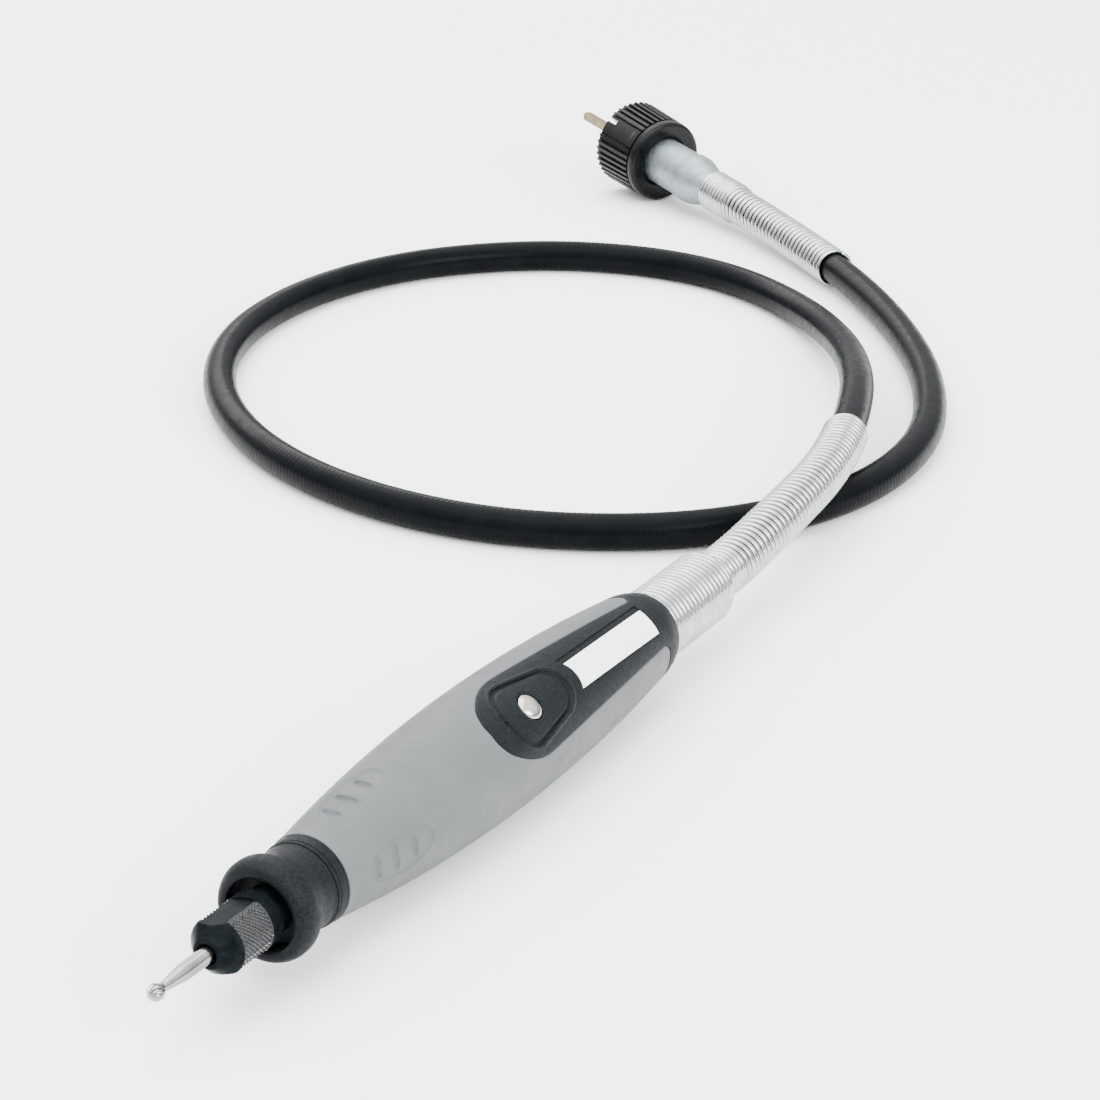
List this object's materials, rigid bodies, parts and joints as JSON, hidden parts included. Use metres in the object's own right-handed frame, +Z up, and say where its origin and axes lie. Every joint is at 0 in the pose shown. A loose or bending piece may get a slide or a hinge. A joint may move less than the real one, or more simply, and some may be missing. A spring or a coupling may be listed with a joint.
{
  "type": "rotary tool flexible-shaft handpiece",
  "caption": "Flexible-shaft handpiece for a rotary tool: barrel grip with lock pin and collet, a black drive hose in a loop, and a ribbed motor coupling with a square drive tip.",
  "frame": {"origin": "on the resting surface under the middle of the handpiece, measured from the cutter's end to the rear of its collar", "axes": "+X along the handpiece from the cutter to the hose, +Z up from the resting surface, +Y to the side that the hose loops to"},
  "size_m": [0.5485, 0.2319, 0.0294],
  "materials": {
    "steel": "machined",
    "bright_steel": "bright plated",
    "zinc": "dull zinc grey",
    "brass": "plain",
    "drive_brass": "dull yellow plated steel",
    "black_metal": "black oxide, knurled",
    "black_plastic": "fine moulded texture",
    "black_gloss": "glossy black",
    "grey_grip": "soft-touch mid grey",
    "hose_rubber": "satin black",
    "white_label": "satin white"
  },
  "bodies": {
    "handpiece": {"front_bearing_outer_race": "steel", "rear_bearing_outer_race": "steel", "front_snap_ring": "steel", "rear_snap_ring": "steel", "preload_washer": "steel", "nose_dust_washer": "black_plastic", "nose_cap": "black_plastic", "housing_tube": "black_plastic", "grip_sleeve": "grey_grip", "rear_cover": "black_plastic", "label_plate": "white_label", "lock_spring": "bright_steel", "hose_fitting": "steel", "hose_sheath": "hose_rubber", "hose_liner": "steel", "drive_core": "steel", "handpiece_guard_spring": "bright_steel", "motor_guard_spring": "bright_steel", "motor_ferrule": "zinc", "ring_retainer": "steel", "drive_bush": "brass"},
    "spindle": {"spindle": "steel", "collet": "steel", "front_bearing_inner_race": "steel", "rear_bearing_inner_race": "steel", "core_end": "steel"},
    "collet_nut": {"collet_nut": "black_metal"},
    "cutter": {"ball_cutter": "steel"},
    "lock_pin": {"lock_pin": "bright_steel"},
    "front_balls": {"front_bearing_balls": "steel", "front_bearing_cage": "brass"},
    "rear_balls": {"rear_bearing_balls": "steel", "rear_bearing_cage": "brass"},
    "drive_tip": {"drive_tip": "drive_brass"},
    "coupling_ring": {"coupling_ring": "black_gloss"}
  },
  "joints": [
    {"name": "spindle_spin", "type": "hinge", "parent": "handpiece", "child": "spindle", "pos_m": [0, 0, 0.01365], "axis": [1, 0, 0], "continuous": true},
    {"name": "collet_nut_turn", "type": "hinge", "parent": "spindle", "child": "collet_nut", "pos_m": [-0.062, 0, 0.01365], "axis": [-1, 0, 0], "range_deg": [0, 360]},
    {"name": "cutter_slide", "type": "slide", "parent": "spindle", "child": "cutter", "axis": [-1, 0, 0], "range_m": [0, 0.024]},
    {"name": "lock_pin_press", "type": "slide", "parent": "handpiece", "child": "lock_pin", "axis": [0, 0.6561, -0.7547], "range_m": [0, 0.0018], "stiffness_N_per_m": 800, "springref_m": -0.002, "deforming": ["lock_spring"]},
    {"name": "front_cage_spin", "type": "hinge", "parent": "handpiece", "child": "front_balls", "pos_m": [-0.0495, 0, 0.01365], "axis": [1, 0, 0], "continuous": true},
    {"name": "rear_cage_spin", "type": "hinge", "parent": "handpiece", "child": "rear_balls", "pos_m": [0.0615, 0, 0.01365], "axis": [1, 0, 0], "continuous": true},
    {"name": "drive_tip_spin", "type": "hinge", "parent": "handpiece", "child": "drive_tip", "pos_m": [0.4359, 0.17565, 0.0132], "axis": [0.4632, 0.8785, 0.1167], "continuous": true},
    {"name": "coupling_ring_turn", "type": "hinge", "parent": "handpiece", "child": "coupling_ring", "pos_m": [0.4359, 0.17565, 0.0132], "axis": [0.4632, 0.8785, 0.1167], "continuous": true}
  ],
  "couplings": [
    {"joint": "front_cage_spin", "follows": "spindle_spin", "ratio": 0.4105},
    {"joint": "rear_cage_spin", "follows": "spindle_spin", "ratio": 0.4105},
    {"joint": "drive_tip_spin", "follows": "spindle_spin", "ratio": 1}
  ]
}
